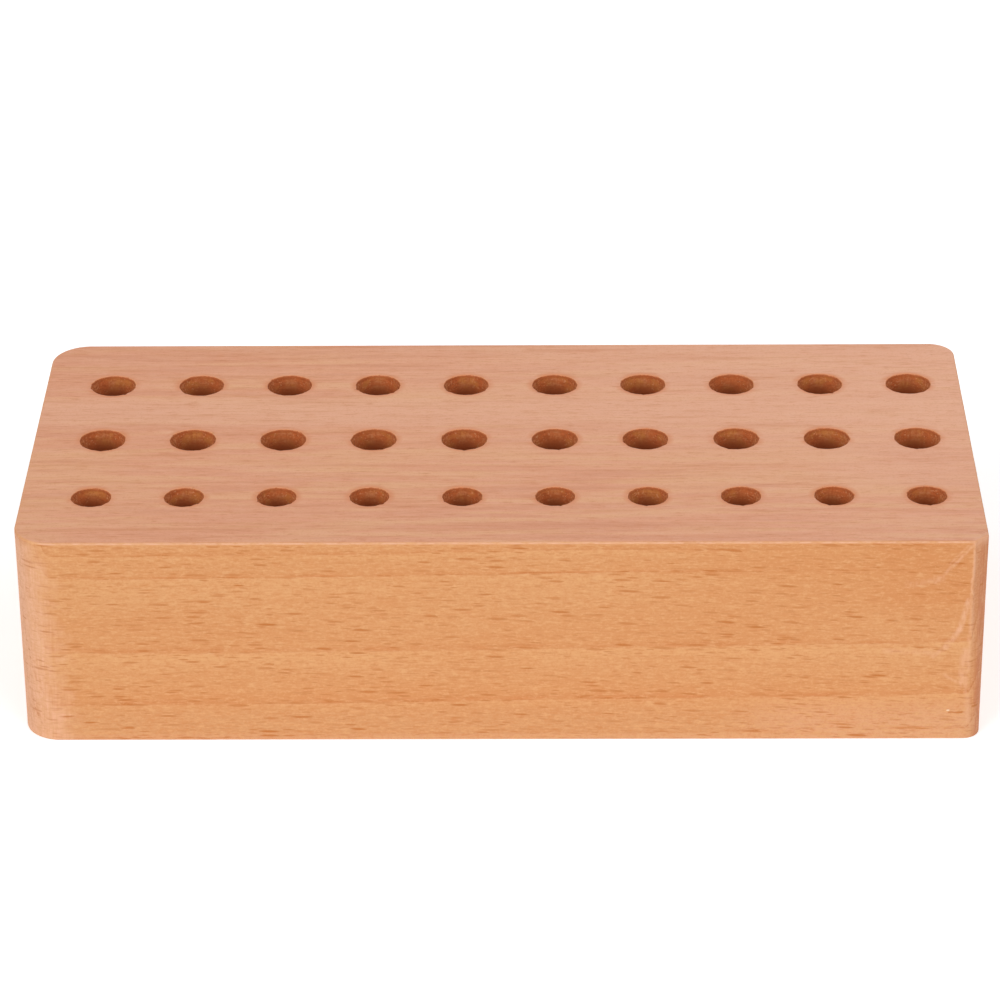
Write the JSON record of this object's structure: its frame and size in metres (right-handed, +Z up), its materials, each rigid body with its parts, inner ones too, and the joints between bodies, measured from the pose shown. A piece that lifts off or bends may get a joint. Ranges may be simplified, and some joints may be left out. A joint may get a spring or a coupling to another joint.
{
  "type": "screwdriver holder",
  "caption": "Solid wooden bench block with rounded corners and straight rows of blind round holes that hold screwdrivers upright; the front row is narrower.",
  "frame": {"origin": "centre of the underside", "axes": "+X to the right along the rows, +Y from the front face, beside the narrow holes, to the back, +Z up"},
  "size_m": [0.207, 0.0954, 0.0486],
  "materials": {
    "beech": "fine sanded, satin oiled"
  },
  "bodies": {
    "root": {"drilled_block": "beech"}
  },
  "joints": []
}
